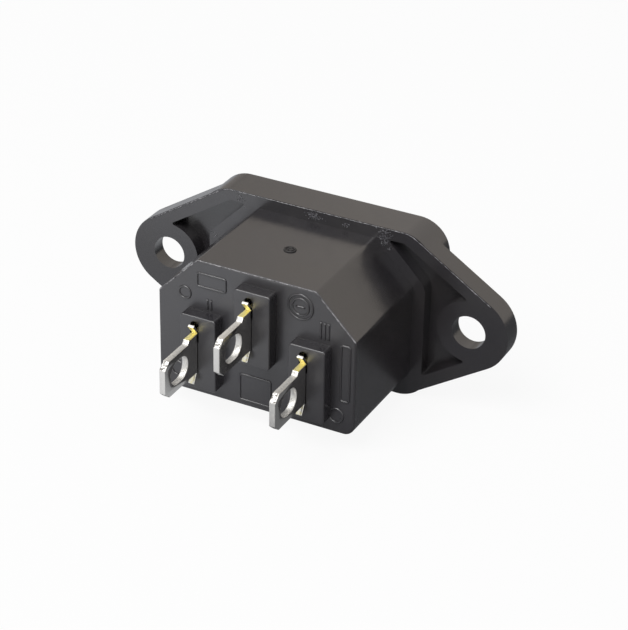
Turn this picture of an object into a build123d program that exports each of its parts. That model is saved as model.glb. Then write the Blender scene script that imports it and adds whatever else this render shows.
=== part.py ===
from build123d import *
import math
import os

# C14 panel inlet socket with three solder terminals, in millimetres.
# X runs along the two mounting holes, +Y is the mating side, +Z is the earth side.
# The origin lies midway between the two holes, on the rear face of the flange.

# Body behind the flange
body_width = 25.6
body_height = 17.7
body_lift = 0.35              # middle of the body above the line of the holes
body_depth = 14.6
body_bevel = 5.15             # 45 degree corners on the earth side
body_bevel_corner = 0.75      # rounding at both ends of each bevel
body_corner = 1.5             # rounded corners on the other side
body_edge = 0.25
body_draft = 0.35             # degrees

# Mounting flange
hole_distance = 7.2           # from the side of the body, which gives a pitch of 40
hole_diameter = 4.2
countersink_diameter = 5.9
ear_radius = 4.9
flange_height = 21.6
flange_corner = 3.0
flange_thickness = 2.75

# Cored pocket behind each ear
boss_radius = 4.0             # round boss left standing about each hole
pocket_depth = 1.8
rim_side = 1.6                # wall left along the sloping edges
rim_top = 1.45                # wall left along the top edge
ring_width = 1.5              # ring left standing beside the body, as far as the ears begin
ring_bevel_width = 1.3        # the same ring along the body's cut corner
ring_corner = 2.3
pocket_corner = 0.2

# Collar round the mouth of the socket, as high as the flange
collar_side = 2.4             # from the side of the body
collar_corner = 4.0
collar_projection = 2.3       # in front of the flange
collar_edge = 0.5

# Socket cavity
wall = 0.8
cavity_depth = 17.0
mouth_chamfer = 0.4

# Raised pads on the rear face
pad_width = 4.6
pad_length = 9.5
pad_height = 1.7
pad_shift = 0.4               # middle of a pad beside its terminal
earth_pad_top = 7.8
line_pad_top = 2.75
pad_corner = 0.35
pad_edge = 0.15

# Contact pins, 14 mm between live and neutral
pin_spacing = 7.0
earth_rise = 4.0              # earth pin above the line of the other two
pin_width = 4.0
pin_thickness = 2.0
line_pin_length = 14.0
earth_pin_length = 15.5
pin_bevel = 0.7
pin_bevel_length = 1.6
pin_edge = 0.25

# Solder tabs
tab_thickness = 0.8
tab_width = 4.7
tab_length = 7.25             # from the face of the pad
line_tab_drop = 0.5           # middle of the tab below the middle of its pin
earth_tab_rise = 0.45         # middle of the tab above the middle of its pin
tab_bevel_length = 0.9
tab_bevel_width = 0.8
eye_length = 3.8
eye_width = 3.0
eye_distance = 4.1            # from the face of the pad
shoulder_rise = 0.45          # the strip is wider where it leaves the pad
shoulder_length = 1.85
shoulder_fall = 0.3

# Chips cut from the edges of the tab and bent against the pad, which stake it there
chip_reach = 0.95             # how far the tip stands off the pad
chip_rise = 1.35              # how far the tip stands past the edge
chip_thickness = 0.32         # at the root, measured across the pad
chip_tip = 0.35

# Slot through the floor of the socket
slot_clearance = 0.05
relief_width = 1.1
relief_rise = 1.5             # open end of the slot above the tab
relief_depth = 1.6

# Places that follow from the sizes above
ring_x = body_width / 2 + ring_width
hole_x = body_width / 2 + hole_distance
slope_run = hole_x - ring_x + flange_corner
slope_drop = flange_height / 2 - flange_corner
slope_angle = math.atan2(slope_drop, slope_run) - math.asin(
    (ear_radius - flange_corner) / math.hypot(slope_run, slope_drop))
mouth_y = flange_thickness + collar_projection
floor_y = mouth_y - cavity_depth
rear_y = -body_depth
pad_y = rear_y - pad_height
line_pin_z = body_lift - earth_rise / 2
earth_pin_z = body_lift + earth_rise / 2
line_tab_z = line_pin_z - line_tab_drop
earth_tab_z = earth_pin_z + earth_tab_rise


def slab(sketch, y_near, y_far, taper=0.0):
    """Extrude a sketch drawn in X and Z from y_near to y_far."""
    height = y_near - y_far
    return extrude(Plane.XZ.offset(-y_near) * sketch, amount=height, taper=taper)


def edges_at(solid, y):
    """Edges that lie wholly in the plane at y."""
    return solid.edges().filter_by_position(Axis.Y, y, y)


def flange_outline():
    """Two round ears joined to an upright middle by tangent lines."""
    middle = RectangleRounded(2 * ring_x, flange_height, flange_corner)
    ears = [Pos(side * hole_x, 0) * Circle(ear_radius) for side in (-1, 1)]
    outlines = ShapeList()
    for shape in [middle, *ears]:
        outlines += shape.edges()
    return make_hull(outlines)


def slope_height(x, inset):
    """Height at x of the sloping edge of the flange, moved in by inset."""
    return (ear_radius - inset) / math.cos(slope_angle) + (hole_x - x) * math.tan(slope_angle)


def slope_reach(z, inset):
    """Distance from the middle at which that sloping edge passes the height z."""
    return hole_x - (z - slope_height(hole_x, inset)) / math.tan(slope_angle)


def pocket_outline():
    """Channel between the rim of one ear, its boss and the ring beside the body.

    Its upper arm runs along the cut corner of the body to a point at the rim. Below,
    where the body is square, it ends at the ring. Its outer ends run out on the boss.
    """
    top = flange_height / 2 - rim_top
    bevel_sum = (body_width + body_height) / 2 + body_lift - body_bevel
    ring_sum = bevel_sum + ring_bevel_width * math.sqrt(2)   # x + z along the ring's slant
    foot_x = hole_x + (ear_radius - rim_side) * math.sin(slope_angle)
    outline = Polyline(
        (ring_x, ring_sum - ring_x),
        (ring_sum - top, top),
        (slope_reach(top, rim_side), top),
        (foot_x, slope_height(foot_x, rim_side)),
        (foot_x, -slope_height(foot_x, rim_side)),
        (ring_x, -slope_height(ring_x, rim_side)),
        close=True,
    )
    channel = make_face(outline)
    shoulder = channel.vertices().sort_by_distance((ring_x, ring_sum - ring_x))[0]
    channel = fillet(shoulder, ring_corner) - Pos(hole_x, 0) * Circle(boss_radius)
    sharp = [corner for corner in channel.vertices()
             if corner.X > ring_x + pocket_corner or corner.Y > body_height / 2 or corner.Y < 0]
    return fillet(sharp, pocket_corner)


def body_outline(inset=0.0):
    """Upright block with 45 degree corners above and rounded corners below."""
    half, top = body_width / 2, body_height / 2
    outline = make_face(
        Polyline(
            (-half, -top),
            (half, -top),
            (half, top - body_bevel),
            (half - body_bevel, top),
            (body_bevel - half, top),
            (-half, top - body_bevel),
            close=True,
        )
    )
    lower = outline.vertices().group_by(Axis.Y)[0]
    outline = fillet(lower, body_corner)
    if inset > 0:
        outline = offset(outline, amount=-inset, kind=Kind.INTERSECTION)
    else:
        upper = outline.vertices().filter_by(lambda corner: corner.Y > top - body_bevel - body_edge)
        outline = fillet(upper, body_bevel_corner)
    return Pos(0, body_lift) * outline


def pad_outline(pin_x, top):
    """Raised pad about one terminal."""
    place = Pos(pin_x + pad_shift, top - pad_length / 2)
    return place * RectangleRounded(pad_width, pad_length, pad_corner)


def slot_cutter(pin_x, tab_z):
    """Slot for one terminal, with an open relief above it at the face of the pad."""
    tab_top = tab_z + tab_width / 2 + shoulder_rise
    tab_bottom = tab_z - tab_width / 2
    height = tab_top - tab_bottom + 2 * slot_clearance
    middle = (tab_top + tab_bottom) / 2
    slot = Pos(pin_x, middle) * Rectangle(tab_thickness + 2 * slot_clearance, height)
    relief = Pos(pin_x, tab_top) * RectangleRounded(relief_width, 2 * relief_rise, relief_width / 2.1)
    return slab(slot, floor_y, pad_y) + slab(relief, pad_y + relief_depth, pad_y)


def make_housing():
    """One moulding: flange, collar, body, pads and the cavity for the plug."""
    flange = slab(flange_outline(), flange_thickness, 0)
    collar_width = body_width + 2 * collar_side
    collar_sketch = RectangleRounded(collar_width, flange_height, collar_corner)
    collar = slab(collar_sketch, mouth_y, 0)
    collar = fillet(edges_at(collar, mouth_y), collar_edge)
    body = slab(body_outline(), 0, rear_y, taper=body_draft)
    body = fillet(edges_at(body, rear_y), body_edge)
    housing = flange + collar + body
    for pin_x, top in ((0, earth_pad_top), (-pin_spacing, line_pad_top), (pin_spacing, line_pad_top)):
        pad = slab(pad_outline(pin_x, top), rear_y + body_edge, pad_y)
        housing += fillet(edges_at(pad, pad_y), pad_edge)

    cavity = slab(body_outline(wall), mouth_y, floor_y)
    mouth = slab(body_outline(wall - mouth_chamfer), mouth_y, mouth_y - mouth_chamfer, taper=45)
    housing -= cavity + mouth
    for pin_x, tab_z in ((0, earth_tab_z), (-pin_spacing, line_tab_z), (pin_spacing, line_tab_z)):
        housing -= slot_cutter(pin_x, tab_z)

    pocket = slab(pocket_outline(), pocket_depth, 0)
    countersink_depth = (countersink_diameter - hole_diameter) / 2
    hole = slab(Pos(hole_x, 0) * Circle(hole_diameter / 2), flange_thickness, 0)
    sink = slab(Pos(hole_x, 0) * Circle(countersink_diameter / 2), flange_thickness,
                flange_thickness - countersink_depth, taper=45)
    for cutter in (pocket, hole, sink):
        housing -= cutter
        housing -= mirror(cutter, Plane.YZ)
    return housing


def chip_outline(root_y, root_z, direction):
    """Side view of one bent chip, from its root on the edge of the tab to its tip."""
    tip_y, tip_z = pad_y - chip_reach, root_z + direction * chip_rise
    inside = root_z - direction * chip_thickness
    return make_face(
        Polyline(
            (root_y, inside),
            (root_y, root_z),
            (tip_y, tip_z - direction * chip_tip / 2),
            (tip_y + chip_tip, tip_z),
            (root_y + chip_thickness, root_z),
            (root_y + chip_thickness, inside),
            close=True,
        )
    )


def make_contact(pin_x, pin_z, tab_z, pin_length):
    """One pin with its solder tab, stamped in one piece and staked behind the pad."""
    tip_y = floor_y + pin_length
    pin = Pos(pin_x, (floor_y + tip_y) / 2, pin_z) * Box(pin_thickness, pin_length, pin_width)
    pin = fillet(pin.edges().filter_by(Axis.Y), pin_edge)
    tip = slab(Pos(pin_x, pin_z) * Rectangle(pin_thickness, pin_width), tip_y, tip_y - pin_bevel_length)
    narrow = Plane.XZ.offset(-tip_y) * Pos(pin_x, pin_z) * RectangleRounded(
        pin_thickness - 2 * pin_bevel, pin_width - 2 * pin_bevel, pin_edge / 2)
    wide = Plane.XZ.offset(pin_bevel_length - tip_y) * Pos(pin_x, pin_z) * RectangleRounded(
        pin_thickness, pin_width, pin_edge)
    pin = pin - tip + loft([wide, narrow])

    low, high = tab_z - tab_width / 2, tab_z + tab_width / 2
    root_top = high + shoulder_rise
    end_y = pad_y - tab_length
    side = make_face(
        Polyline(
            (floor_y, low),
            (end_y + tab_bevel_length, low),
            (end_y, low + tab_bevel_width),
            (end_y, high - tab_bevel_width),
            (end_y + tab_bevel_length, high),
            (pad_y - shoulder_length - shoulder_fall, high),
            (pad_y - shoulder_length, root_top),
            (floor_y, root_top),
            close=True,
        )
    )
    side += chip_outline(pad_y, root_top, 1) + chip_outline(pad_y - chip_thickness, low, -1)
    eye_place = Pos(pad_y - eye_distance, tab_z)
    side -= eye_place * SlotOverall(eye_length, eye_width)
    strip = extrude(Plane.YZ.offset(pin_x) * side, amount=tab_thickness / 2, both=True)
    return pin + strip


nodes = {
    "housing": make_housing(),
    "earth_contact": make_contact(0, earth_pin_z, earth_tab_z, earth_pin_length),
    "live_contact": make_contact(-pin_spacing, line_pin_z, line_tab_z, line_pin_length),
    "neutral_contact": make_contact(pin_spacing, line_pin_z, line_tab_z, line_pin_length),
}

os.makedirs("parts", exist_ok=True)
for name, solid in nodes.items():
    export_step(solid, f"parts/{name}.step")
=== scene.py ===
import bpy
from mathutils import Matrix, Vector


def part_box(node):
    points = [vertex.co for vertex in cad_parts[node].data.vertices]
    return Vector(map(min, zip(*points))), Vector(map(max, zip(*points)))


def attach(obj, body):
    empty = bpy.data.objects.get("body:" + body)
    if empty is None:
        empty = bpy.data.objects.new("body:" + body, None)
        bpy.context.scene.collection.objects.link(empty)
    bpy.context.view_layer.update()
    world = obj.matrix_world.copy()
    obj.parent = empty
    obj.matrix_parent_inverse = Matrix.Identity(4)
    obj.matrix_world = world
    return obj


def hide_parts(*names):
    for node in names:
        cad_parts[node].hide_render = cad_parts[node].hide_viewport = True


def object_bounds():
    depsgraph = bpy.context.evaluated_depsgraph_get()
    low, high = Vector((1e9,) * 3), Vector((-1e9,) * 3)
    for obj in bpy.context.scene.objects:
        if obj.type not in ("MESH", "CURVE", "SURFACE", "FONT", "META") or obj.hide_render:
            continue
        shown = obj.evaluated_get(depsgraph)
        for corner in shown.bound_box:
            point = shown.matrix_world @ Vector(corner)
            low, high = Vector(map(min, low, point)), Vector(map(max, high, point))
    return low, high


bl_info = {
    "name": "Panel Inlet Socket",
    "version": (1, 0, 0),
    "blender": (4, 5, 0),
    "location": "View3D > Sidebar > Inlet Socket",
    "description": "Finishes a panel inlet socket: moulded housing, plated contacts and a stage",
    "category": "Object",
}

import math

import bmesh
import bpy
import numpy as np
from bpy.props import FloatProperty, FloatVectorProperty, IntProperty, PointerProperty
from mathutils import Matrix, Vector

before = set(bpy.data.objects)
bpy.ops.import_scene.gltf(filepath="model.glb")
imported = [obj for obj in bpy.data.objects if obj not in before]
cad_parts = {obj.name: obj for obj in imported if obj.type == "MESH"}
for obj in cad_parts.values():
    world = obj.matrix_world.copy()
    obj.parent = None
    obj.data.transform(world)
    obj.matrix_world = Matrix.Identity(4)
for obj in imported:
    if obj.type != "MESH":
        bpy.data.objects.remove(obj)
cad_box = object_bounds()

MM = 0.001
ROOT = "root"
CONTACTS = ("earth_contact", "live_contact", "neutral_contact")

# Sizes of the solids that the details sit on, in millimetres
housing_low, housing_high = ([round(v / MM, 3) for v in corner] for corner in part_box("housing"))
PAD_HEIGHT = 1.7
PAD_FACE = housing_low[1]    # y of the faces of the pads
REAR_FACE = PAD_FACE + PAD_HEIGHT    # y of the rear face of the body
BODY_TOP = 9.2               # z of the top of the body
BODY_HALF = 12.71            # half the body's width at its rear edge
BODY_BEVEL = 5.1             # its cut corners
FLANGE_TOP = housing_high[2]
FLANGE_CORNER = 3.0
RING_X = 14.3                # outer side of the ring beside the body
HOLE_X = 20.0                # from the middle to each screw hole
EAR_RADIUS = housing_high[0] - HOLE_X
STRIP_START = -12.0          # y behind which a contact is strip and tab, and no longer pin
SHOULDER_RISE = 0.45         # the strip is wider where it leaves the pad
SHOULDER_LENGTH = 1.85
TAB_START = 1.0              # from the shoulder to well past its slope
CORNER_START = 6.0           # from the pad to just before the tab's cut corners
CHIP_TIP = 1.2               # from the shoulder's edge to just under the upper chip's tip

# Real sizes of the patterns in the finishes
COLOUR_CAST = 9 * MM         # patches of a cooler and a warmer black
FIBRE_GRAIN = 0.25 * MM      # grain of the glass fibres, as coarse as it needs to show
FLOW_MARK = 2.2 * MM         # swirls where the melt ran
TORN_SPOT = 0.35 * MM        # whitened spots where nylon tore
SCUFF = 0.9 * MM             # scuffs on the rolled faces
TEAR = 0.28 * MM             # tears on the sheared edges, as coarse as they need to show
GRAIN_DEPTH = 0.006 * MM
FLOW_DEPTH = 0.03 * MM
TEAR_DEPTH = 0.05 * MM
NOISE_LOW, NOISE_HIGH = 0.3, 0.7    # nearly all values of the noise lie between these
NYLON_IOR = 1.53
WHITE = (1.0, 1.0, 1.0, 1.0)


def linear(code):
    """sRGB hex colour as linear red, green and blue."""
    parts = np.array([int(code[i:i + 2], 16) for i in (1, 3, 5)]) / 255
    bright = ((parts + 0.055) / 1.055) ** 2.4
    return tuple(float(v) for v in np.where(parts <= 0.04045, parts / 12.92, bright))


def rgba(colour):
    """Colour property as the four numbers a socket takes."""
    return (*colour, 1.0)


# Materials

def node(tree, kind, place, inputs=None, **settings):
    """Add one node with its settings. An input is a number, a colour or another node's socket."""
    made = tree.nodes.new(kind)
    made.location = place
    for name, value in settings.items():
        setattr(made, name, value)
    for name, value in (inputs or {}).items():
        socket = made.inputs[name]
        if isinstance(value, bpy.types.NodeSocket):
            tree.links.new(value, socket)
        else:
            socket.default_value = value
    return made


def new_material(name):
    """Material without nodes, and its tree."""
    material = bpy.data.materials.new(name)
    material.use_nodes = True
    material.node_tree.nodes.clear()
    return material, material.node_tree


def nylon_moulded(look):
    """Black glass-filled nylon, injection moulded.

    The steel of the mould leaves a semi-gloss skin that mirrors what is near, with
    a faint grain of fibres under it and flow marks that dull the gloss here and there.
    Where the steel was eroded to shape, at the rear face and the pads, the skin is duller.
    """
    flow_glossier, flow_duller = 0.04, 0.05
    rear_reach, pad_reach = 0.16, 0.1    # how far from each face the duller skin goes
    material, tree = new_material("nylon_glass_filled_moulded")
    place = node(tree, "ShaderNodeTexCoord", (-1200, 0)).outputs["Object"]
    cast = node(tree, "ShaderNodeTexNoise", (-900, 300), {
        "Vector": place, "Scale": 1 / COLOUR_CAST, "Detail": 2.0})
    grain = node(tree, "ShaderNodeTexNoise", (-900, 0), {
        "Vector": place, "Scale": 1 / FIBRE_GRAIN, "Detail": 2.0, "Roughness": 0.5})
    flow = node(tree, "ShaderNodeTexNoise", (-900, -300), {
        "Vector": place, "Scale": 1 / FLOW_MARK, "Detail": 4.0, "Distortion": 0.6})
    colour = node(tree, "ShaderNodeMix", (-500, 300), {
        "Factor": cast.outputs["Fac"], "A": rgba(look.plastic_cool),
        "B": rgba(look.plastic_warm)}, data_type="RGBA")
    gloss = node(tree, "ShaderNodeMapRange", (-700, 100), {
        "Value": flow.outputs["Fac"], "From Min": NOISE_LOW, "From Max": NOISE_HIGH,
        "To Min": look.plastic_roughness - flow_glossier,
        "To Max": look.plastic_roughness + flow_duller})
    along = node(tree, "ShaderNodeSeparateXYZ", (-900, 600), {"Vector": place}).outputs["Y"]
    rear = node(tree, "ShaderNodeMath", (-700, 700), {
        0: along, 1: REAR_FACE * MM, 2: rear_reach * MM}, operation="COMPARE")
    pads = node(tree, "ShaderNodeMath", (-700, 500), {
        0: along, 1: PAD_FACE * MM, 2: pad_reach * MM}, operation="COMPARE")
    eroded = node(tree, "ShaderNodeMath", (-500, 600), {
        0: rear.outputs["Value"], 1: pads.outputs["Value"]}, operation="ADD")
    roughness = node(tree, "ShaderNodeMath", (-300, 300), {
        0: eroded.outputs["Value"], 1: look.rear_dulling,
        2: gloss.outputs["Result"]}, operation="MULTIPLY_ADD")
    bump = node(tree, "ShaderNodeBump", (-500, -300), {
        "Height": grain.outputs["Fac"], "Strength": 0.12, "Distance": GRAIN_DEPTH})
    swell = node(tree, "ShaderNodeBump", (-250, -300), {
        "Height": flow.outputs["Fac"], "Strength": 0.5, "Distance": FLOW_DEPTH,
        "Normal": bump.outputs["Normal"]})
    shader = node(tree, "ShaderNodeBsdfPrincipled", (500, 0), {
        "Base Color": colour.outputs["Result"], "Roughness": roughness.outputs["Value"],
        "Normal": swell.outputs["Normal"], "IOR": NYLON_IOR, "Specular IOR Level": 1.0})
    node(tree, "ShaderNodeOutputMaterial", (900, 0), {"Surface": shader.outputs["BSDF"]})
    return material


def nylon_torn(name, dark, pale, roughness):
    """The same nylon where it was torn: thin flash at the parting lines, grit and the gate.

    Torn nylon is matt and whitens in spots. The flash is made pale enough that it partly
    paints in the highlight along the edges, and shows as a broken bright line, while the
    gate's darker colour partly paints in the shade of its hollow scar.
    """
    whitening_starts, whitening_full = 0.35, 0.7
    material, tree = new_material(name)
    place = node(tree, "ShaderNodeTexCoord", (-1200, 0)).outputs["Object"]
    torn = node(tree, "ShaderNodeTexNoise", (-900, 0), {
        "Vector": place, "Scale": 1 / TORN_SPOT, "Detail": 3.0})
    white = node(tree, "ShaderNodeMapRange", (-700, 0), {
        "Value": torn.outputs["Fac"], "From Min": whitening_starts, "From Max": whitening_full})
    colour = node(tree, "ShaderNodeMix", (-400, 200), {
        "Factor": white.outputs["Result"], "A": rgba(dark), "B": rgba(pale)}, data_type="RGBA")
    shader = node(tree, "ShaderNodeBsdfPrincipled", (500, 0), {
        "Base Color": colour.outputs["Result"], "Roughness": roughness, "IOR": NYLON_IOR})
    node(tree, "ShaderNodeOutputMaterial", (900, 0), {"Surface": shader.outputs["BSDF"]})
    return material


def nickel_plated(look):
    """Nickel plate on stamped brass strip.

    The rolled faces are a clear silver mirror with faint scuffs. The sheared edges are
    torn and dull under the same plate, with dark specks at the corners, and where the
    punch moved the metal after plating, the bare brass shows yellow; on the lower chip
    that pale brass is partly a painted highlight. The mesh says where, as sheared,
    chipped and bare.
    """
    scuffed_glossier, scuffed_duller = 0.05, 0.07
    torn_glossier, torn_duller = 0.12, 0.15
    speck_starts, speck_full = 0.44, 0.6
    brass_wander = 0.5                  # how far the tears carry the edge of the bare brass
    brass_starts, brass_full = 0.4, 0.6
    torn_bump, rolled_bump = 0.3, 0.04
    material, tree = new_material("nickel_plate_stamped")
    place = node(tree, "ShaderNodeTexCoord", (-1400, 0)).outputs["Object"]
    sheared, bare, chipped = (
        node(tree, "ShaderNodeAttribute", (-1400, height), attribute_name=name).outputs["Fac"]
        for name, height in (("sheared", 400), ("bare", 700), ("chipped", -600)))
    scuff = node(tree, "ShaderNodeTexNoise", (-1000, 0), {
        "Vector": place, "Scale": 1 / SCUFF, "Detail": 4.0})
    tear = node(tree, "ShaderNodeTexNoise", (-1000, -300), {
        "Vector": place, "Scale": 1 / TEAR, "Detail": 3.0, "Roughness": 0.6})
    rolled = node(tree, "ShaderNodeMapRange", (-700, 0), {
        "Value": scuff.outputs["Fac"], "From Min": NOISE_LOW, "From Max": NOISE_HIGH,
        "To Min": look.plate_roughness - scuffed_glossier,
        "To Max": look.plate_roughness + scuffed_duller})
    torn = node(tree, "ShaderNodeMapRange", (-700, -300), {
        "Value": tear.outputs["Fac"], "From Min": NOISE_LOW, "From Max": NOISE_HIGH,
        "To Min": look.sheared_roughness - torn_glossier,
        "To Max": look.sheared_roughness + torn_duller})
    roughness = node(tree, "ShaderNodeMix", (-400, 0), {
        "Factor": sheared, "A": rolled.outputs["Result"], "B": torn.outputs["Result"]})
    speck = node(tree, "ShaderNodeMapRange", (-700, -600), {
        "Value": tear.outputs["Fac"], "From Min": speck_starts, "From Max": speck_full})
    dull = node(tree, "ShaderNodeMath", (-500, -600), {
        0: speck.outputs["Result"], 1: chipped}, operation="MULTIPLY")
    plate = node(tree, "ShaderNodeMix", (-300, 500), {
        "Factor": dull.outputs["Value"], "A": rgba(look.plate),
        "B": rgba(look.plate_dull)}, data_type="RGBA")
    either_side = node(tree, "ShaderNodeMath", (-700, 800), {
        0: tear.outputs["Fac"], 1: 0.5}, operation="SUBTRACT")
    wandering = node(tree, "ShaderNodeMath", (-500, 800), {
        0: either_side.outputs["Value"], 1: brass_wander, 2: bare}, operation="MULTIPLY_ADD")
    bared = node(tree, "ShaderNodeMapRange", (-300, 800), {
        "Value": wandering.outputs["Value"], "From Min": brass_starts, "From Max": brass_full})
    colour = node(tree, "ShaderNodeMix", (0, 500), {
        "Factor": bared.outputs["Result"], "A": plate.outputs["Result"],
        "B": rgba(look.brass)}, data_type="RGBA")
    strength = node(tree, "ShaderNodeMath", (-300, -300), {
        0: sheared, 1: torn_bump, 2: rolled_bump}, operation="MULTIPLY_ADD")
    bump = node(tree, "ShaderNodeBump", (0, -300), {
        "Height": tear.outputs["Fac"], "Strength": strength.outputs["Value"],
        "Distance": TEAR_DEPTH})
    shader = node(tree, "ShaderNodeBsdfPrincipled", (500, 0), {
        "Base Color": colour.outputs["Result"], "Metallic": 1.0,
        "Roughness": roughness.outputs["Result"], "Normal": bump.outputs["Normal"]})
    node(tree, "ShaderNodeOutputMaterial", (900, 0), {"Surface": shader.outputs["BSDF"]})
    return material


# Meshes, as numpy arrays in millimetres

def placed(name, data):
    """New object at the origin that holds the data, in the scene."""
    made = bpy.data.objects.new(name, data)
    bpy.context.scene.collection.objects.link(made)
    return made


def add_object(name, points, faces, material):
    """Object at the origin whose place is in its mesh. Points are in millimetres."""
    mesh = bpy.data.meshes.new(name)
    mesh.from_pydata((np.asarray(points) * MM).tolist(), [], np.asarray(faces).tolist())
    mesh.materials.append(material)
    mesh.shade_smooth()
    mesh.update()
    return placed(name, mesh)


def joined(parts):
    """Several pairs of points and triangles as one pair."""
    starts = np.cumsum([0] + [len(points) for points, _ in parts[:-1]])
    return (np.concatenate([points for points, _ in parts]),
            np.concatenate([triangles + start for (_, triangles), start in zip(parts, starts)]))


def ring_faces(rows, columns, closed=False):
    """Triangles of rings of points: each ring joins the next, and the last the first if closed."""
    row, column = np.meshgrid(
        np.arange(rows if closed else rows - 1), np.arange(columns), indexing="ij")
    following, beside = (row + 1) % rows, (column + 1) % columns
    a, b = row * columns + column, row * columns + beside
    c, d = following * columns + beside, following * columns + column
    return np.concatenate([
        np.stack(corners, axis=-1).reshape(-1, 3) for corners in ((a, b, c), (a, c, d))])


def pole_faces(start, columns, pole, outward):
    """Triangles from one ring of points, which begins at start, to a single point."""
    column = np.arange(columns)
    beside = (column + 1) % columns
    corners = (start + beside, start + column) if outward else (start + column, start + beside)
    return np.stack([*corners, np.full(columns, pole)], axis=-1)


def bead(path, normal, radius, sides=6, closed=False):
    """Round bead laid along a path on a flat face, its ends capped or joined to each other.

    point(s, t) = path(s) + radius(s) * (cos t * across(s) + sin t * normal), where
    across is the cross product of the path's direction and the face's normal.
    """
    path = np.asarray(path, float)
    normal = np.broadcast_to(np.asarray(normal, float), path.shape)
    if closed:
        along = np.roll(path, -1, axis=0) - np.roll(path, 1, axis=0)
    else:
        along = np.gradient(path, axis=0)
    along /= np.linalg.norm(along, axis=1, keepdims=True)
    across = np.cross(along, normal)
    across /= np.linalg.norm(across, axis=1, keepdims=True)
    angle = np.arange(sides) * 2 * np.pi / sides
    radius = np.broadcast_to(radius, len(path))[:, None, None]
    points = path[:, None] + radius * (np.cos(angle)[None, :, None] * across[:, None]
                                       + np.sin(angle)[None, :, None] * normal[:, None])
    points = points.reshape(-1, 3)
    if closed:
        return points, ring_faces(len(path), sides, closed=True)
    last = len(points) - sides
    faces = [ring_faces(len(path), sides), pole_faces(0, sides, len(points), True),
             pole_faces(last, sides, len(points) + 1, False)]
    return np.concatenate([points, path[[0, -1]]]), np.concatenate(faces)


def lump(centre, size, normal, ripple, rng, rings=3, sides=6):
    """Flattened ball: point = centre + size * (sin v cos t, sin v sin t, cos v), with the last
    of the three along the face's normal, and sin v rippled at random."""
    v, t = np.meshgrid(np.linspace(0, np.pi, rings + 2)[1:-1],
                       np.arange(sides) * 2 * np.pi / sides, indexing="ij")
    wide = np.sin(v) * (1 + rng.uniform(-ripple, ripple, v.shape))
    ball = np.stack([wide * np.cos(t), wide * np.sin(t), np.cos(v)], axis=-1).reshape(-1, 3)
    ball = np.concatenate([ball, [[0, 0, 1], [0, 0, -1]]]) * size
    if normal == "-Y":
        ball = np.stack([ball[:, 0], -ball[:, 2], ball[:, 1]], axis=-1)
    faces = [ring_faces(rings, sides)[:, ::-1], pole_faces(0, sides, rings * sides, False),
             pole_faces((rings - 1) * sides, sides, rings * sides + 1, True)]
    return ball + np.asarray(centre, float), np.concatenate(faces)


def grains(places, normal, largest, rng):
    """One small flattened lump at each place, a third to the whole of the largest size."""
    smallest, width, height, ripple = 0.35, 0.8, 0.5, 0.25
    sizes = rng.uniform(smallest * largest, largest, len(places))
    return [lump(place, (size, size * width, size * height), normal, ripple, rng)
            for place, size in zip(places, sizes)]


def loop(centre, half_width, half_height, corner, steps=8):
    """Outline of a rounded rectangle on the rear face: quarter turns of the corner's
    radius about its four centres, joined by lines."""
    quarter = np.linspace(0, np.pi / 2, steps)
    x, z = [], []
    for k, (side, rise) in enumerate(((1, 1), (-1, 1), (-1, -1), (1, -1))):
        angle = quarter + k * np.pi / 2
        x.append(centre[0] + side * (half_width - corner) + corner * np.cos(angle))
        z.append(centre[1] + rise * (half_height - corner) + corner * np.sin(angle))
    x, z = np.concatenate(x), np.concatenate(z)
    return np.stack([x, np.full_like(x, REAR_FACE), z], axis=-1)


def smooth_random(count, step, rng):
    """Random values from 0 to 1 at count places, with knots every step places, joined by lines."""
    knots = rng.random(count // step + 3)
    return np.interp(np.arange(count) / step, np.arange(len(knots)), knots)


def resampled(corners, spacing):
    """Points every spacing along the lines between corners."""
    corners = np.asarray(corners, float)
    lengths = np.linalg.norm(np.diff(corners, axis=0), axis=1)
    reach = np.concatenate([[0], np.cumsum(lengths)])
    places = np.linspace(0, reach[-1], max(2, int(reach[-1] / spacing)))
    return np.stack([np.interp(places, reach, corners[:, axis]) for axis in range(3)], axis=-1)


# Settings

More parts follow.
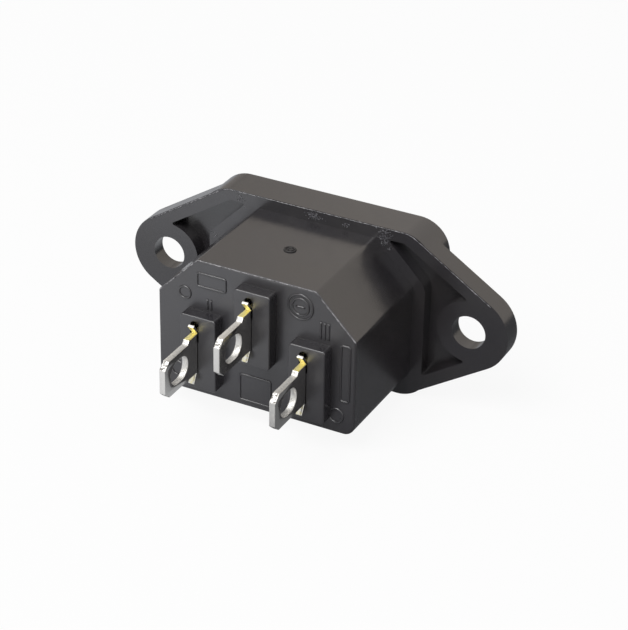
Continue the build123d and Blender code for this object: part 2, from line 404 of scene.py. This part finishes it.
class SocketLook(bpy.types.PropertyGroup):
    """Colours and finishes of the socket."""

    plastic_cool: FloatVectorProperty(
        name="Plastic, cool", description="Cooler cast of the black nylon", subtype="COLOR",
        min=0.0, max=1.0, default=linear("#2B2A30"))
    plastic_warm: FloatVectorProperty(
        name="Plastic, warm", description="Warmer cast of the black nylon", subtype="COLOR",
        min=0.0, max=1.0, default=linear("#2F2C2B"))
    plastic_roughness: FloatProperty(
        name="Plastic roughness", description="Middle roughness of the moulded skin",
        min=0.05, max=1.0, default=0.22, subtype="FACTOR")
    rear_dulling: FloatProperty(
        name="Rear dulling", description="Roughness added on the rear face and the pads",
        min=0.0, max=0.5, default=0.12, subtype="FACTOR")
    # Whitened nylon, pale enough that it also paints in the highlight along the rear edges
    flash: FloatVectorProperty(
        name="Flash", description="Whitened nylon of the trimmed flash", subtype="COLOR",
        min=0.0, max=1.0, default=linear("#B4B2B5"))
    grit: FloatVectorProperty(
        name="Grit", description="Whitened nylon of the rough grains", subtype="COLOR",
        min=0.0, max=1.0, default=linear("#77767A"))
    # Darker than the nylon round it, which partly paints in the shade of the scar's hollow
    gate: FloatVectorProperty(
        name="Gate", description="Dark nylon of the cut gate", subtype="COLOR",
        min=0.0, max=1.0, default=linear("#151314"))
    plate: FloatVectorProperty(
        name="Nickel plate", description="Colour of the plated contacts", subtype="COLOR",
        min=0.0, max=1.0, default=linear("#E2E0DC"))
    plate_dull: FloatVectorProperty(
        name="Dull plate", description="Colour of the plate over torn metal", subtype="COLOR",
        min=0.0, max=1.0, default=linear("#5F5C58"))
    brass: FloatVectorProperty(
        name="Brass", description="Bare brass where the punch moved it", subtype="COLOR",
        min=0.0, max=1.0, default=linear("#F3E9AE"))
    plate_roughness: FloatProperty(
        name="Plate roughness", description="Middle roughness of the rolled faces",
        min=0.05, max=1.0, default=0.2, subtype="FACTOR")
    sheared_roughness: FloatProperty(
        name="Sheared roughness", description="Middle roughness of the sheared edges",
        min=0.05, max=1.0, default=0.5, subtype="FACTOR")
    edge_rounding: FloatProperty(
        name="Edge rounding", description="Rounding along the stamped edges", unit="LENGTH",
        min=0.0, default=0.09 * MM, precision=5)


class MarkSettings(bpy.types.PropertyGroup):
    """Marks that moulding leaves."""

    flash_radius: FloatProperty(
        name="Flash radius", description="Thickness of the flash along the edges",
        unit="LENGTH", default=0.075 * MM, precision=5)
    relief_radius: FloatProperty(
        name="Relief", description="Radius of the raised lines on the rear face",
        unit="LENGTH", default=0.15 * MM, precision=5)
    grit_count: IntProperty(
        name="Grit", description="Grains in the largest rough patch", default=150, min=0, max=500)


class StageSettings(bpy.types.PropertyGroup):
    """Floor, light and camera."""

    floor_height: FloatProperty(
        name="Floor height", description="Height of the floor under the lowest edge",
        unit="LENGTH", default=cad_box[0][2])
    azimuth: FloatProperty(
        name="Azimuth", description="Camera's angle to the right of the rear",
        subtype="ANGLE", default=math.radians(26.859))
    elevation: FloatProperty(
        name="Elevation", description="Camera's angle above the horizon",
        subtype="ANGLE", default=math.radians(29.848))
    roll: FloatProperty(
        name="Roll", description="Camera's turn about its own line of sight",
        subtype="ANGLE", default=math.radians(1.109))
    distance: FloatProperty(
        name="Distance", description="From the camera to the aim point",
        unit="LENGTH", default=261.69 * MM)
    aim: FloatVectorProperty(
        name="Aim point", description="Point in the middle of the picture",
        subtype="TRANSLATION", default=(0.63 * MM, -1.25 * MM, -2.44 * MM))
    lens: FloatProperty(
        name="Lens", description="Focal length on a 36 mm wide sensor, in millimetres",
        unit="CAMERA", default=126.27)


def declare(piece):
    """Tie a piece to the one body."""
    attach(piece, ROOT)


# Pieces

class SOCKET_OT_housing(bpy.types.Operator):
    """Give the moulded housing its nylon"""

    bl_idname = "socket.housing"
    bl_label = "Moulded housing"

    def execute(self, context):
        look = context.scene.socket_look
        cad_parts["housing"].material_slots[0].material = nylon_moulded(look)
        return {"FINISHED"}


class SOCKET_OT_contacts(bpy.types.Operator):
    """Make the stamped contacts from their solids, with rounded edges and worn plate"""

    bl_idname = "socket.contacts"
    bl_label = "Plated contacts"

    def execute(self, context):
        look = context.scene.socket_look
        plate = nickel_plated(look)
        for name in CONTACTS:
            self.make_contact(name, plate, look)
        return {"FINISHED"}

    def make_contact(self, name, plate, look):
        """The solid's own surface, merged to flat faces, with its edges rounded by a bevel."""
        weld, flat, sharp = 0.002 * MM, math.radians(0.5), math.radians(32)
        work = bmesh.new()
        work.from_mesh(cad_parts[name].data)
        bmesh.ops.remove_doubles(work, verts=work.verts, dist=weld)
        bmesh.ops.dissolve_limit(work, angle_limit=flat, verts=work.verts, edges=work.edges)
        self.mark_faces(work)
        mesh = bpy.data.meshes.new(f"{name}_stamped")
        work.to_mesh(mesh)
        work.free()
        mesh.materials.append(plate)
        piece = placed(f"{name}_stamped", mesh)
        rounding = piece.modifiers.new("rounding", "BEVEL")
        rounding.width = look.edge_rounding
        rounding.segments = 3
        rounding.limit_method = "ANGLE"
        rounding.angle_limit = sharp
        rounding.harden_normals = True
        rounding.use_clamp_overlap = True
        declare(piece)
        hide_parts(name)

    def mark_faces(self, work):
        """Say how far each face behind the pin is sheared, chipped and bare of plate.

        Every face but the rolled sides is sheared. The tab's cut corners are chipped, and
        so, a little, are the faces that look up. The shoulder's upper edge and the upper
        chip, all but its tip, are bare. The lower chip is smooth and partly bare, which
        leaves it pale: the bare brass there is partly a painted highlight, the pale light
        the lower chip catches.
        """
        # The lower chip's share of bare brass also paints in the pale highlight it catches
        upper_chipping, lower_bare_and_highlight = 0.3, 0.47
        leaning = 0.3       # part of a normal from which a face leans that way
        slack = 0.02 * MM
        tab_start = (PAD_FACE - SHOULDER_LENGTH - TAB_START) * MM
        heights = [vert.co.z for vert in work.verts if vert.co.y < tab_start]
        low, shoulder = min(heights), max(heights) + SHOULDER_RISE * MM
        sheared, bare, chipped = (
            work.faces.layers.float.new(name) for name in ("sheared", "bare", "chipped"))
        for face in work.faces:
            centre, normal = face.calc_center_median(), face.normal
            behind = centre.y < STRIP_START * MM
            near_pad = centre.y > (PAD_FACE - SHOULDER_LENGTH) * MM - slack
            top = centre.z > shoulder - slack and near_pad
            tip = centre.z > shoulder + CHIP_TIP * MM and normal.z > 0.5
            bottom = centre.z < low - slack
            at_corners = centre.y < (PAD_FACE - CORNER_START) * MM
            slanted = min(abs(normal.y), abs(normal.z)) > leaning and at_corners
            upper = normal.z > leaning and not top
            edge = float(abs(normal.x) < 0.5 and behind)
            face[chipped] = edge * (1.0 if slanted else upper_chipping * upper)
            face[bare] = float(behind) * (lower_bare_and_highlight if bottom else float(top and not tip))
            face[sheared] = 0.0 if bottom else edge
            face.smooth = True


class SOCKET_OT_flash(bpy.types.Operator):
    """Lay the thin flash of the parting lines along the rear edges of body and flange"""

    bl_idname = "socket.flash"
    bl_label = "Moulding flash"

    SEED = 14

    def execute(self, context):
        look, marks = context.scene.socket_look, context.scene.socket_marks
        flange_share = 0.85
        rng = np.random.default_rng(self.SEED)
        thick = marks.flash_radius / MM
        parts = [self.ragged(self.body_edge(), thick, rng),
                 self.ragged(self.flange_edge(), thick * flange_share, rng)]
        # The flash's pale colour is partly a painted highlight along the edges
        torn = nylon_torn("nylon_flash_with_painted_highlight", look.plastic_cool, look.flash, roughness=0.42)
        declare(add_object("moulding_flash", *joined(parts), torn))
        return {"FINISHED"}

    def body_edge(self):
        """Rear edge of the body: up one side, over both bevels and down the other."""
        inset, sink = 0.12, 0.05
        slant = BODY_TOP - BODY_BEVEL
        corners = [(-BODY_HALF, slant), (BODY_BEVEL - BODY_HALF, BODY_TOP),
                   (BODY_HALF - BODY_BEVEL, BODY_TOP), (BODY_HALF, slant)]
        return [(x * (1 - inset / BODY_HALF), REAR_FACE + sink, z - inset) for x, z in corners]

    def flange_edge(self):
        """Rear edge of the flange: the round corners, the top between them and the slopes,
        which touch the corner's circle and the ear's."""
        narrower, inset, rise = 0.996, 0.1, 0.01
        run, drop = HOLE_X - RING_X + FLANGE_CORNER, FLANGE_TOP - FLANGE_CORNER
        slope = (math.atan2(drop, run)
                 - math.asin((EAR_RADIUS - FLANGE_CORNER) / math.hypot(run, drop)))
        turn = np.linspace(math.pi / 2 - slope, math.pi / 2, 8)
        corner_x = RING_X - FLANGE_CORNER + FLANGE_CORNER * np.cos(turn)
        corner_z = FLANGE_TOP - FLANGE_CORNER + FLANGE_CORNER * np.sin(turn)
        foot = (HOLE_X + EAR_RADIUS * math.sin(slope), EAR_RADIUS * math.cos(slope))
        side = [foot, *zip(corner_x, corner_z)]
        outline = [(-x, z) for x, z in side] + side[::-1]
        return [(x * narrower, -rise, z - inset) for x, z in outline]

    def ragged(self, corners, thick, rng):
        """Bead whose radius is thick * (0.45 + 0.75 * noise squared), and that sags by up to
        0.4 of thick at random. The noise has a knot every so many points of the path."""
        spacing, coarse, fine, sagging = 0.09, 9, 3, 5
        path = resampled(corners, spacing)
        count = len(path)
        noise = 0.6 * smooth_random(count, coarse, rng) + 0.4 * smooth_random(count, fine, rng)
        path[:, 2] -= 0.4 * thick * smooth_random(count, sagging, rng)
        return bead(path, (0, -1, 0), thick * (0.45 + 0.75 * noise ** 2))


class SOCKET_OT_marks(bpy.types.Operator):
    """Raise the plain marks of the mould on the rear face"""

    bl_idname = "socket.marks"
    bl_label = "Mould marks"

    # Middle in x and z, half the width, half the height, radius of the corners
    FRAMES = (
        ((-5.7, 6.7), 1.85, 0.85, 0.3),      # blank plate, upper left
        ((5.7, 6.7), 1.55, 1.55, 1.54),      # rim of a round insert, upper right
        ((5.7, 6.7), 1.05, 1.05, 1.04),      # the insert's inner ring
        ((0.0, -5.9), 2.0, 1.7, 0.3),        # blank plate, below
        ((11.45, -0.4), 0.55, 3.6, 0.25),    # blank plate, right
        ((-9.2, 4.55), 0.75, 0.75, 0.74),    # pin mark, left
        ((-10.2, -5.9), 0.9, 0.9, 0.89),     # pin mark, lower left
        ((10.4, -6.1), 0.9, 0.9, 0.89),      # pin mark, lower right
    )
    # Both ends in x and z
    BARS = (
        ((5.15, 6.7), (6.25, 6.7)),          # slot of the round insert
        ((-6.25, 3.1), (-6.25, 4.4)),        # two ribs on the left
        ((-5.75, 3.1), (-5.75, 4.4)),
        ((8.3, 3.4), (8.3, 5.5)),            # three ribs on the right
        ((8.8, 3.4), (8.8, 5.5)),
        ((9.3, 3.4), (9.3, 5.5)),
    )

    def execute(self, context):
        look, marks = context.scene.socket_look, context.scene.socket_marks
        radius, lift, spacing = marks.relief_radius / MM, (0, -1, 0), 0.2
        parts = [bead(loop(*sizes), lift, radius, closed=True) for sizes in self.FRAMES]
        for ends in self.BARS:
            line = resampled([(x, REAR_FACE, z) for x, z in ends], spacing)
            parts.append(bead(line, lift, radius))
        declare(add_object("mould_marks", *joined(parts), nylon_moulded(look)))
        return {"FINISHED"}


class SOCKET_OT_grit(bpy.types.Operator):
    """Scatter rough grains on the flange, and leave the scar of the gate on top of the body"""

    bl_idname = "socket.grit"
    bl_label = "Grit and gate"

    SEED = 40

    # Middle in x and z, spread across and up, share of the count
    PATCHES = (
        ((8.9, 9.4), (0.5, 0.8), 1.0),
        ((-0.3, 9.95), (0.45, 0.3), 0.5),
        ((3.9, 9.8), (0.25, 0.2), 0.15),
        ((-10.1, 9.5), (0.25, 0.5), 0.3),
        ((-13.6, 4.4), (0.3, 0.5), 0.1),
    )
    LARGEST_GRAIN = 0.115

    # The gate's middle in x and y, the radii of its torn inside and of its rim, across and along
    GATE = (0.5, -7.35)
    GATE_INSIDE = (0.7, 0.6)
    GATE_RIM = (0.68, 0.6)
    GATE_BEAD = 0.1
    GATE_GRAIN = 0.17

    def execute(self, context):
        look, marks = context.scene.socket_look, context.scene.socket_marks
        rng = np.random.default_rng(self.SEED)
        parts = []
        for middle, spread, share in self.PATCHES:
            count = int(marks.grit_count * share)
            x = rng.normal(middle[0], spread[0], count)
            z = rng.normal(middle[1], spread[1], count)
            spots = np.stack([x, np.zeros(count), z], axis=-1)[self.on_flange(x, z)]
            parts += grains(spots, "-Y", self.LARGEST_GRAIN, rng)
        rough = nylon_torn("nylon_grit_torn", look.plastic_cool, look.grit, roughness=0.5)
        declare(add_object("grit", *joined(parts), rough))
        # The gate's dark colour is partly painted shade of the hollow scar
        cut = nylon_torn("nylon_gate_cut_painted_shade", look.gate, look.plastic_warm, roughness=0.65)
        scar = joined(self.gate(marks.grit_count // 3, rng))
        declare(add_object("gate_scar", *scar, cut))
        return {"FINISHED"}

    def gate(self, count, rng):
        """Where the gate was cut off: a low ring, filled with torn grains."""
        turn, reach = rng.uniform(0, 2 * np.pi, count), np.sqrt(rng.random(count))
        spots = self.on_top(turn, reach * self.GATE_INSIDE[0], reach * self.GATE_INSIDE[1])
        rim = self.on_top(np.linspace(0, 2 * np.pi, 24, endpoint=False), *self.GATE_RIM)
        return [bead(rim, (0, 0, 1), self.GATE_BEAD, closed=True),
                *grains(spots, "+Z", self.GATE_GRAIN, rng)]

    def on_top(self, turn, across, along):
        """Points on top of the body, at angles on ellipses about the gate's middle."""
        x, y = self.GATE[0] + across * np.cos(turn), self.GATE[1] + along * np.sin(turn)
        return np.column_stack([x, y, np.full(len(turn), BODY_TOP)])

    def on_flange(self, x, z):
        """Where a grain has the flange's rear face under it: above the body or on the ring
        beside it, and not over a cored pocket. The ring's corners stand at 45 degrees, so
        x + z says how far out on them a grain is."""
        ring_inside, ring_outside, rim_end, above_body, margin = 17.1, 18.65, 21.5, 9.45, 0.1
        reach = np.abs(x) + z
        ring = (reach > ring_inside) & (reach < ring_outside) & (np.abs(x) < RING_X - margin)
        above = (z > above_body) & (z < FLANGE_TOP - margin) & (reach < rim_end)
        return ring | above


# Stage, with its sizes and places in metres

PAPER = (0.86, 0.86, 0.86, 1.0)
PAPER_SHINE = (0.94, 0.96, 1.0, 1.0)
PAPER_SEEN = 0.92            # share of plain white in what the camera sees of the paper
FLOOR_HALF = 1.5
ROOM_FILL = 0.22             # even light from all round
ROOM_WARM = (0.765, 0.705, 0.635, 1.0)
LAMPS = (                    # name, place, width, and power in watts
    ("key", (-0.08, -0.38, 0.57), 0.5, 3.6),
    ("edge", (-0.27, -0.24, 0.59), 0.16, 0.32),
    ("top", (-0.25, 0.05, 0.66), 0.5, 0.4),
)
SENSOR_WIDTH = 36.0          # in millimetres, as the camera takes it


def white_floor():
    """Matt white paper sweep: it keeps the socket's shadow and shows white to the camera.

    Gloss mirrors it with painted light and shadow: bright on the left, fading to a
    quarter on the right as though lit from the left, and dimmer close behind the socket
    than further back, a painted shadow of the socket.
    """
    # Where the painted light and the painted shadow in the paper's glow begin and end, and how dim
    # they leave it
    left, right, right_painted_shade = -16 * MM, 12 * MM, 0.25
    further, close, close_painted_shadow = -30 * MM, -18 * MM, 0.65
    material, tree = new_material("paper_sweep_matt")
    paper = node(tree, "ShaderNodeBsdfDiffuse", (0, 100), {"Color": PAPER})
    glow = node(tree, "ShaderNodeEmission", (0, -100), {"Color": WHITE, "Strength": 1.0})
    path = node(tree, "ShaderNodeLightPath", (-600, 400))
    place = node(tree, "ShaderNodeTexCoord", (-900, -300)).outputs["Object"]
    across = node(tree, "ShaderNodeSeparateXYZ", (-700, -300), {"Vector": place})
    # Painted light: what gloss sees of the paper is brightest on the left, as though lit from the
    # left, and falls to a quarter on the right
    fade = node(tree, "ShaderNodeMapRange", (-500, -300), {
        "Value": across.outputs["X"], "From Min": left, "From Max": right,
        "To Min": 1.0, "To Max": right_painted_shade}, interpolation_type="SMOOTHSTEP")
    # Painted shadow of the socket: what gloss sees of the paper is dimmer close behind it
    near = node(tree, "ShaderNodeMapRange", (-500, -600), {
        "Value": across.outputs["Y"], "From Min": further, "From Max": close,
        "To Min": 1.0, "To Max": close_painted_shadow})
    level = node(tree, "ShaderNodeMath", (-300, -400), {
        0: fade.outputs["Result"], 1: near.outputs["Result"]}, operation="MULTIPLY")
    shine = node(tree, "ShaderNodeEmission", (0, -300), {
        "Color": PAPER_SHINE, "Strength": level.outputs["Value"]})
    seen = node(tree, "ShaderNodeMath", (-200, 400), {
        0: path.outputs["Is Camera Ray"], 1: PAPER_SEEN}, operation="MULTIPLY")
    plain = node(tree, "ShaderNodeMixShader", (200, 0), {
        "Fac": seen.outputs["Value"], 1: paper.outputs["BSDF"], 2: glow.outputs["Emission"]})
    sweep = node(tree, "ShaderNodeMixShader", (500, 0), {
        "Fac": path.outputs["Is Glossy Ray"], 1: plain.outputs["Shader"],
        2: shine.outputs["Emission"]})
    node(tree, "ShaderNodeOutputMaterial", (900, 0), {"Surface": sweep.outputs["Shader"]})
    return material


class SOCKET_OT_stage(bpy.types.Operator):
    """Make the floor, the lamps, the world and the camera"""

    bl_idname = "socket.stage"
    bl_label = "Stage"

    def execute(self, context):
        stage = context.scene.socket_stage
        self.make_floor(stage)
        self.make_world(context.scene)
        self.make_lamps()
        self.make_camera(context.scene, stage)
        return {"FINISHED"}

    def make_floor(self, stage):
        """Square sheet of paper at the height of the socket's lowest edge."""
        corners = [(x * FLOOR_HALF, y * FLOOR_HALF, stage.floor_height)
                   for x, y in ((-1, -1), (1, -1), (1, 1), (-1, 1))]
        mesh = bpy.data.meshes.new("floor")
        mesh.from_pydata(corners, [], [(0, 1, 2, 3)])
        mesh.materials.append(white_floor())
        floor = placed("floor", mesh)

    def make_world(self, scene):
        """White studio: even and weak as a light, plain white to the camera.

        Gloss mirrors it white to the rear and a warm grey to the front, and dimmer on the
        far left. Places in it are parts of a direction of length 1.
        """
        warm_starts, warm_full = 0.0, 0.75
        dim_until, dim_ends, dim_shine = -0.47, -0.37, 0.65
        world = bpy.data.worlds.new("studio")
        world.use_nodes = True
        tree = world.node_tree
        tree.nodes.clear()
        path = node(tree, "ShaderNodeLightPath", (-800, 200))
        towards = node(tree, "ShaderNodeTexCoord", (-1200, -300)).outputs["Generated"]
        part = node(tree, "ShaderNodeSeparateXYZ", (-1000, -300), {"Vector": towards})
        fade = node(tree, "ShaderNodeMapRange", (-800, -300), {
            "Value": part.outputs["Y"], "From Min": warm_starts, "From Max": warm_full})
        tone = node(tree, "ShaderNodeMix", (-500, -300), {
            "Factor": fade.outputs["Result"], "A": WHITE, "B": ROOM_WARM}, data_type="RGBA")
        level = node(tree, "ShaderNodeMapRange", (-500, -600), {
            "Value": part.outputs["X"], "From Min": dim_until, "From Max": dim_ends,
            "To Min": dim_shine, "To Max": 1.0})
        light = node(tree, "ShaderNodeBackground", (-200, 0), {
            "Color": WHITE, "Strength": ROOM_FILL})
        white = node(tree, "ShaderNodeBackground", (-200, -150), {
            "Color": WHITE, "Strength": 1.0})
        shine = node(tree, "ShaderNodeBackground", (-200, -300), {
            "Color": tone.outputs["Result"], "Strength": level.outputs["Result"]})
        seen = node(tree, "ShaderNodeMath", (-500, 200), {
            0: path.outputs["Is Camera Ray"], 1: path.outputs["Is Transmission Ray"]},
            operation="MAXIMUM")
        room = node(tree, "ShaderNodeMixShader", (0, -100), {
            "Fac": path.outputs["Is Glossy Ray"], 1: light.outputs["Background"],
            2: shine.outputs["Background"]})
        shown = node(tree, "ShaderNodeMixShader", (200, 0), {
            "Fac": seen.outputs["Value"], 1: room.outputs["Shader"],
            2: white.outputs["Background"]})
        node(tree, "ShaderNodeOutputWorld", (400, 0), {"Surface": shown.outputs["Shader"]})
        scene.world = world

    def make_lamps(self):
        """Round soft lamps that look at the origin."""
        for name, place, width, power in LAMPS:
            lamp = bpy.data.lights.new(name, "AREA")
            lamp.shape = "DISK"
            lamp.size = width
            lamp.energy = power
            holder = placed(name, lamp)
            holder.location = place
            holder.rotation_euler = (-Vector(place)).to_track_quat("-Z", "Y").to_euler()

    def make_camera(self, scene, stage):
        """Camera at the fitted angle: forward, right and up from azimuth, elevation and roll."""
        turn, rise = stage.azimuth, stage.elevation
        forward = Vector((-math.sin(turn) * math.cos(rise),
                          math.cos(turn) * math.cos(rise), -math.sin(rise)))
        level = Vector((math.cos(turn), math.sin(turn), 0.0))
        upright = level.cross(forward)
        right = math.cos(stage.roll) * level + math.sin(stage.roll) * upright
        up = -math.sin(stage.roll) * level + math.cos(stage.roll) * upright
        data = bpy.data.cameras.new("camera")
        data.sensor_fit = "HORIZONTAL"
        data.sensor_width = SENSOR_WIDTH
        data.lens = stage.lens
        data.clip_start, data.clip_end = 0.01, 10.0
        camera = placed("camera", data)
        turned = Matrix((right, up, -forward)).transposed().to_4x4()
        back_off = Vector(stage.aim) - stage.distance * forward
        camera.matrix_world = Matrix.Translation(back_off) @ turned
        scene.camera = camera


# Add-on

class SOCKET_PT_sidebar(bpy.types.Panel):
    """Lists the steps and the settings"""

    bl_label = "Inlet Socket"
    bl_space_type = "VIEW_3D"
    bl_region_type = "UI"
    bl_category = "Inlet Socket"

    def draw(self, context):
        column = self.layout.column()
        scene = context.scene
        for group in (scene.socket_look, scene.socket_marks, scene.socket_stage):
            for name in group.__annotations__:
                column.prop(group, name)
        for step in STEPS:
            column.operator(step.bl_idname)


GROUPS = (SocketLook, MarkSettings, StageSettings)
STEPS = (SOCKET_OT_housing, SOCKET_OT_contacts, SOCKET_OT_flash,
         SOCKET_OT_marks, SOCKET_OT_grit, SOCKET_OT_stage)


def register():
    """Add the classes, and the settings to every scene."""
    for made in (*GROUPS, *STEPS, SOCKET_PT_sidebar):
        bpy.utils.register_class(made)
    bpy.types.Scene.socket_look = PointerProperty(type=SocketLook)
    bpy.types.Scene.socket_marks = PointerProperty(type=MarkSettings)
    bpy.types.Scene.socket_stage = PointerProperty(type=StageSettings)


def unregister():
    """Take the settings and the classes away again."""
    del bpy.types.Scene.socket_stage
    del bpy.types.Scene.socket_marks
    del bpy.types.Scene.socket_look
    for made in reversed((*GROUPS, *STEPS, SOCKET_PT_sidebar)):
        bpy.utils.unregister_class(made)


def main():
    """Run every step in order."""
    register()
    bpy.context.scene.view_settings.view_transform = "Standard"
    bpy.ops.socket.housing()
    bpy.ops.socket.contacts()
    bpy.ops.socket.flash()
    bpy.ops.socket.marks()
    bpy.ops.socket.grit()
    bpy.ops.socket.stage()
    bpy.context.view_layer.update()


if __name__ == "__main__":
    main()
